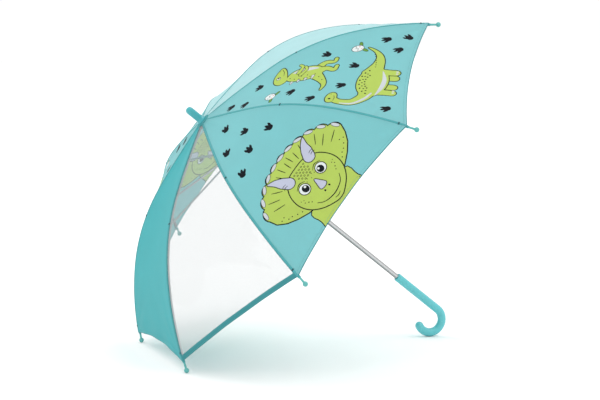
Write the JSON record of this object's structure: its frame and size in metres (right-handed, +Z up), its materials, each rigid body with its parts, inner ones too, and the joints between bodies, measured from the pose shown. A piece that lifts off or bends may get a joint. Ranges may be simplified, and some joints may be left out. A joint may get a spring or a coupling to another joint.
{
  "type": "umbrella",
  "caption": "Open stick umbrella for a child: seven cloth gores and one clear window on folding ribs, hook handle",
  "frame": {"origin": "centre of the bounding box footprint, at floor height, umbrella open and lying on two rib tips and its hook", "axes": "+Z is up, +Y is the longest extent, and the shaft lies in the XZ plane with its handle towards +X"},
  "size_m": [0.5156, 0.6806, 0.5305],
  "materials": {
    "steel_tube": "satin",
    "wire": "bright",
    "rib_steel": "satin",
    "ferrule": "gloss",
    "crown_plastic": "satin",
    "handle": "gloss",
    "tips": "gloss",
    "fabric_teal": "plain weave",
    "fabric_print": "printed plain weave",
    "fabric_pale": "printed plain weave",
    "fabric_light": "plain weave",
    "window_film": "clear"
  },
  "bodies": {
    "shaft": {"shaft_tube": "steel_tube", "ferrule": "ferrule", "top_washer": "crown_plastic", "crown": "crown_plastic", "crown_wire": "wire", "handle": "handle"},
    "runner": {"runner": "crown_plastic", "runner_wire": "wire"},
    "top catch": {"top_catch": "wire"},
    "bottom catch": {"bottom_catch": "wire"},
    "rib 1": {"rib_1": "rib_steel", "tip_1": "tips"},
    "stretcher 1": {"stretcher_1": "rib_steel"},
    "rib 2": {"rib_2": "rib_steel", "tip_2": "tips"},
    "stretcher 2": {"stretcher_2": "rib_steel"},
    "rib 3": {"rib_3": "rib_steel", "tip_3": "tips"},
    "stretcher 3": {"stretcher_3": "rib_steel"},
    "rib 4": {"rib_4": "rib_steel", "tip_4": "tips"},
    "stretcher 4": {"stretcher_4": "rib_steel"},
    "rib 5": {"rib_5": "rib_steel", "tip_5": "tips"},
    "stretcher 5": {"stretcher_5": "rib_steel"},
    "rib 6": {"rib_6": "rib_steel", "tip_6": "tips"},
    "stretcher 6": {"stretcher_6": "rib_steel"},
    "rib 7": {"rib_7": "rib_steel", "tip_7": "tips"},
    "stretcher 7": {"stretcher_7": "rib_steel"},
    "rib 8": {"rib_8": "rib_steel", "tip_8": "tips"},
    "stretcher 8": {"stretcher_8": "rib_steel"},
    "gore 1a": {"panel_1a": "fabric_teal"},
    "gore 1b": {"panel_1b": "fabric_teal"},
    "gore 2a": {"panel_2a": "window_film"},
    "gore 2b": {"panel_2b": "window_film"},
    "gore 3a": {"panel_3a": "fabric_print"},
    "gore 3b": {"panel_3b": "fabric_print"},
    "gore 4a": {"panel_4a": "fabric_pale"},
    "gore 4b": {"panel_4b": "fabric_pale"},
    "gore 5a": {"panel_5a": "fabric_light"},
    "gore 5b": {"panel_5b": "fabric_light"},
    "gore 6a": {"panel_6a": "fabric_light"},
    "gore 6b": {"panel_6b": "fabric_light"},
    "gore 7a": {"panel_7a": "fabric_print"},
    "gore 7b": {"panel_7b": "fabric_print"},
    "gore 8a": {"panel_8a": "fabric_pale"},
    "gore 8b": {"panel_8b": "fabric_pale"}
  },
  "joints": [
    {"name": "fold the canopy", "type": "hinge", "parent": "shaft", "child": "rib 1", "pos_m": [-0.1679, 0.00306, 0.3689], "axis": [-0.2409, -0.9239, -0.2973], "range_deg": [0, 63.26], "deforming": ["top_catch", "bottom_catch"]},
    {"name": "rib 2 on the crown", "type": "hinge", "parent": "shaft", "child": "rib 2", "pos_m": [-0.1679, -0.00306, 0.3689], "axis": [0.2409, -0.9239, 0.2973], "range_deg": [0, 63.31]},
    {"name": "rib 3 on the crown", "type": "hinge", "parent": "shaft", "child": "rib 3", "pos_m": [-0.16517, -0.00739, 0.37227], "axis": [0.5816, -0.3827, 0.7179], "range_deg": [0, 63.31]},
    {"name": "rib 4 on the crown", "type": "hinge", "parent": "shaft", "child": "rib 4", "pos_m": [-0.16132, -0.00739, 0.37702], "axis": [0.5816, 0.3827, 0.7179], "range_deg": [0, 63.31]},
    {"name": "rib 5 on the crown", "type": "hinge", "parent": "shaft", "child": "rib 5", "pos_m": [-0.1586, -0.00306, 0.38039], "axis": [0.2409, 0.9239, 0.2973], "range_deg": [0, 63.31]},
    {"name": "rib 6 on the crown", "type": "hinge", "parent": "shaft", "child": "rib 6", "pos_m": [-0.1586, 0.00306, 0.38039], "axis": [-0.2409, 0.9239, -0.2973], "range_deg": [0, 63.31]},
    {"name": "rib 7 on the crown", "type": "hinge", "parent": "shaft", "child": "rib 7", "pos_m": [-0.16132, 0.00739, 0.37702], "axis": [-0.5816, 0.3827, -0.7179], "range_deg": [0, 63.31]},
    {"name": "rib 8 on the crown", "type": "hinge", "parent": "shaft", "child": "rib 8", "pos_m": [-0.16517, 0.00739, 0.37227], "axis": [-0.5816, -0.3827, -0.7179], "range_deg": [0, 63.31]},
    {"name": "stretcher 1 on its rib", "type": "hinge", "parent": "rib 1", "child": "stretcher 1", "pos_m": [-0.2413, 0.06978, 0.22107], "axis": [-0.2409, -0.9239, -0.2973], "range_deg": [-126.62, 0]},
    {"name": "stretcher 2 on its rib", "type": "hinge", "parent": "rib 2", "child": "stretcher 2", "pos_m": [-0.2413, -0.06978, 0.22107], "axis": [0.2409, -0.9239, 0.2973], "range_deg": [-126.62, 0]},
    {"name": "stretcher 3 on its rib", "type": "hinge", "parent": "rib 3", "child": "stretcher 3", "pos_m": [-0.17918, -0.16847, 0.29774], "axis": [0.5816, -0.3827, 0.7179], "range_deg": [-126.62, 0]},
    {"name": "stretcher 4 on its rib", "type": "hinge", "parent": "rib 4", "child": "stretcher 4", "pos_m": [-0.09133, -0.16847, 0.40619], "axis": [0.5816, 0.3827, 0.7179], "range_deg": [-126.62, 0]},
    {"name": "stretcher 5 on its rib", "type": "hinge", "parent": "rib 5", "child": "stretcher 5", "pos_m": [-0.0292, -0.06978, 0.48286], "axis": [0.2409, 0.9239, 0.2973], "range_deg": [-126.62, 0]},
    {"name": "stretcher 6 on its rib", "type": "hinge", "parent": "rib 6", "child": "stretcher 6", "pos_m": [-0.0292, 0.06978, 0.48286], "axis": [-0.2409, 0.9239, -0.2973], "range_deg": [-126.62, 0]},
    {"name": "stretcher 7 on its rib", "type": "hinge", "parent": "rib 7", "child": "stretcher 7", "pos_m": [-0.09133, 0.16847, 0.40619], "axis": [-0.5816, 0.3827, -0.7179], "range_deg": [-126.62, 0]},
    {"name": "stretcher 8 on its rib", "type": "hinge", "parent": "rib 8", "child": "stretcher 8", "pos_m": [-0.17918, 0.16847, 0.29774], "axis": [-0.5816, -0.3827, -0.7179], "range_deg": [-126.62, 0]},
    {"name": "runner on stretcher 1", "type": "hinge", "parent": "stretcher 1", "child": "runner", "pos_m": [-0.11191, 0.00306, 0.32354], "axis": [-0.2409, -0.9239, -0.2973], "range_deg": [0, 63.31]},
    {"name": "gore 1a on rib 1", "type": "hinge", "parent": "rib 1", "child": "gore 1a", "pos_m": [-0.24829, 0.01199, 0.4063], "axis": [0.1753, -0.1327, 0.9755], "range_deg": [0, 82.19], "deforming": ["panel_1a"]},
    {"name": "gore 1b on rib 2", "type": "hinge", "parent": "rib 2", "child": "gore 1b", "pos_m": [-0.24829, -0.01199, 0.4063], "axis": [0.1753, 0.1327, 0.9755], "range_deg": [-82.19, 0], "deforming": ["panel_1b"]},
    {"name": "gore 2a on rib 2", "type": "hinge", "parent": "rib 2", "child": "gore 2a", "pos_m": [-0.24829, -0.01199, 0.4063], "axis": [0.0743, 0.5202, 0.8508], "range_deg": [0, 82.19], "deforming": ["panel_2a"]},
    {"name": "gore 2b on rib 3", "type": "hinge", "parent": "rib 3", "child": "gore 2b", "pos_m": [-0.23761, -0.02894, 0.41947], "axis": [-0.0438, 0.7079, 0.705], "range_deg": [-82.19, 0], "deforming": ["panel_2b"]},
    {"name": "gore 3a on rib 3", "type": "hinge", "parent": "rib 3", "child": "gore 3a", "pos_m": [-0.23761, -0.02894, 0.41947], "axis": [-0.2877, 0.8684, 0.4039], "range_deg": [0, 82.19], "deforming": ["panel_3a"]},
    {"name": "gore 3b on rib 4", "type": "hinge", "parent": "rib 4", "child": "gore 3b", "pos_m": [-0.22253, -0.02894, 0.43809], "axis": [-0.4548, 0.8684, 0.1977], "range_deg": [-82.19, 0], "deforming": ["panel_3b"]},
    {"name": "gore 4a on rib 4", "type": "hinge", "parent": "rib 4", "child": "gore 4a", "pos_m": [-0.22253, -0.02894, 0.43809], "axis": [-0.6987, 0.7079, -0.1034], "range_deg": [0, 82.19], "deforming": ["panel_4a"]},
    {"name": "gore 4b on rib 5", "type": "hinge", "parent": "rib 5", "child": "gore 4b", "pos_m": [-0.21186, -0.01199, 0.45127], "axis": [-0.8169, 0.5202, -0.2492], "range_deg": [-82.19, 0], "deforming": ["panel_4b"]},
    {"name": "gore 5a on rib 5", "type": "hinge", "parent": "rib 5", "child": "gore 5a", "pos_m": [-0.21186, -0.01199, 0.45127], "axis": [-0.9179, 0.1327, -0.3739], "range_deg": [0, 82.19], "deforming": ["panel_5a"]},
    {"name": "gore 5b on rib 6", "type": "hinge", "parent": "rib 6", "child": "gore 5b", "pos_m": [-0.21186, 0.01199, 0.45127], "axis": [-0.9179, -0.1327, -0.3739], "range_deg": [-82.19, 0], "deforming": ["panel_5b"]},
    {"name": "gore 6a on rib 6", "type": "hinge", "parent": "rib 6", "child": "gore 6a", "pos_m": [-0.21186, 0.01199, 0.45127], "axis": [-0.8169, -0.5202, -0.2492], "range_deg": [0, 82.19], "deforming": ["panel_6a"]},
    {"name": "gore 6b on rib 7", "type": "hinge", "parent": "rib 7", "child": "gore 6b", "pos_m": [-0.22253, 0.02894, 0.43809], "axis": [-0.6987, -0.7079, -0.1034], "range_deg": [-82.19, 0], "deforming": ["panel_6b"]},
    {"name": "gore 7a on rib 7", "type": "hinge", "parent": "rib 7", "child": "gore 7a", "pos_m": [-0.22253, 0.02894, 0.43809], "axis": [-0.4548, -0.8684, 0.1977], "range_deg": [0, 82.19], "deforming": ["panel_7a"]},
    {"name": "gore 7b on rib 8", "type": "hinge", "parent": "rib 8", "child": "gore 7b", "pos_m": [-0.23761, 0.02894, 0.41947], "axis": [-0.2877, -0.8684, 0.4039], "range_deg": [-82.19, 0], "deforming": ["panel_7b"]},
    {"name": "gore 8a on rib 8", "type": "hinge", "parent": "rib 8", "child": "gore 8a", "pos_m": [-0.23761, 0.02894, 0.41947], "axis": [-0.0438, -0.7079, 0.705], "range_deg": [0, 82.19], "deforming": ["panel_8a"]},
    {"name": "gore 8b on rib 1", "type": "hinge", "parent": "rib 1", "child": "gore 8b", "pos_m": [-0.24829, 0.01199, 0.4063], "axis": [0.0743, -0.5202, 0.8508], "range_deg": [-82.19, 0], "deforming": ["panel_8b"]},
    {"name": "press the top catch", "type": "slide", "parent": "shaft", "child": "top catch", "axis": [0, -1, 0], "range_m": [0, 0.0021], "stiffness_N_per_m": 500},
    {"name": "press the bottom catch", "type": "slide", "parent": "shaft", "child": "bottom catch", "axis": [0, -1, 0], "range_m": [0, 0.0021], "stiffness_N_per_m": 500}
  ],
  "couplings": [
    {"joint": "rib 2 on the crown", "follows": "fold the canopy", "ratio": 1},
    {"joint": "rib 3 on the crown", "follows": "fold the canopy", "ratio": 1},
    {"joint": "rib 4 on the crown", "follows": "fold the canopy", "ratio": 1},
    {"joint": "rib 5 on the crown", "follows": "fold the canopy", "ratio": 1},
    {"joint": "rib 6 on the crown", "follows": "fold the canopy", "ratio": 1},
    {"joint": "rib 7 on the crown", "follows": "fold the canopy", "ratio": 1},
    {"joint": "rib 8 on the crown", "follows": "fold the canopy", "ratio": 1},
    {"joint": "stretcher 1 on its rib", "follows": "fold the canopy", "ratio": -2},
    {"joint": "stretcher 2 on its rib", "follows": "fold the canopy", "ratio": -2},
    {"joint": "stretcher 3 on its rib", "follows": "fold the canopy", "ratio": -2},
    {"joint": "stretcher 4 on its rib", "follows": "fold the canopy", "ratio": -2},
    {"joint": "stretcher 5 on its rib", "follows": "fold the canopy", "ratio": -2},
    {"joint": "stretcher 6 on its rib", "follows": "fold the canopy", "ratio": -2},
    {"joint": "stretcher 7 on its rib", "follows": "fold the canopy", "ratio": -2},
    {"joint": "stretcher 8 on its rib", "follows": "fold the canopy", "ratio": -2},
    {"joint": "runner on stretcher 1", "follows": "fold the canopy", "ratio": 1},
    {"joint": "gore 1a on rib 1", "follows": "fold the canopy", "ratio": 1.2977},
    {"joint": "gore 1b on rib 2", "follows": "fold the canopy", "ratio": -1.2977},
    {"joint": "gore 2a on rib 2", "follows": "fold the canopy", "ratio": 1.2977},
    {"joint": "gore 2b on rib 3", "follows": "fold the canopy", "ratio": -1.2977},
    {"joint": "gore 3a on rib 3", "follows": "fold the canopy", "ratio": 1.2977},
    {"joint": "gore 3b on rib 4", "follows": "fold the canopy", "ratio": -1.2977},
    {"joint": "gore 4a on rib 4", "follows": "fold the canopy", "ratio": 1.2977},
    {"joint": "gore 4b on rib 5", "follows": "fold the canopy", "ratio": -1.2977},
    {"joint": "gore 5a on rib 5", "follows": "fold the canopy", "ratio": 1.2977},
    {"joint": "gore 5b on rib 6", "follows": "fold the canopy", "ratio": -1.2977},
    {"joint": "gore 6a on rib 6", "follows": "fold the canopy", "ratio": 1.2977},
    {"joint": "gore 6b on rib 7", "follows": "fold the canopy", "ratio": -1.2977},
    {"joint": "gore 7a on rib 7", "follows": "fold the canopy", "ratio": 1.2977},
    {"joint": "gore 7b on rib 8", "follows": "fold the canopy", "ratio": -1.2977},
    {"joint": "gore 8a on rib 8", "follows": "fold the canopy", "ratio": 1.2977},
    {"joint": "gore 8b on rib 1", "follows": "fold the canopy", "ratio": -1.2977}
  ]
}
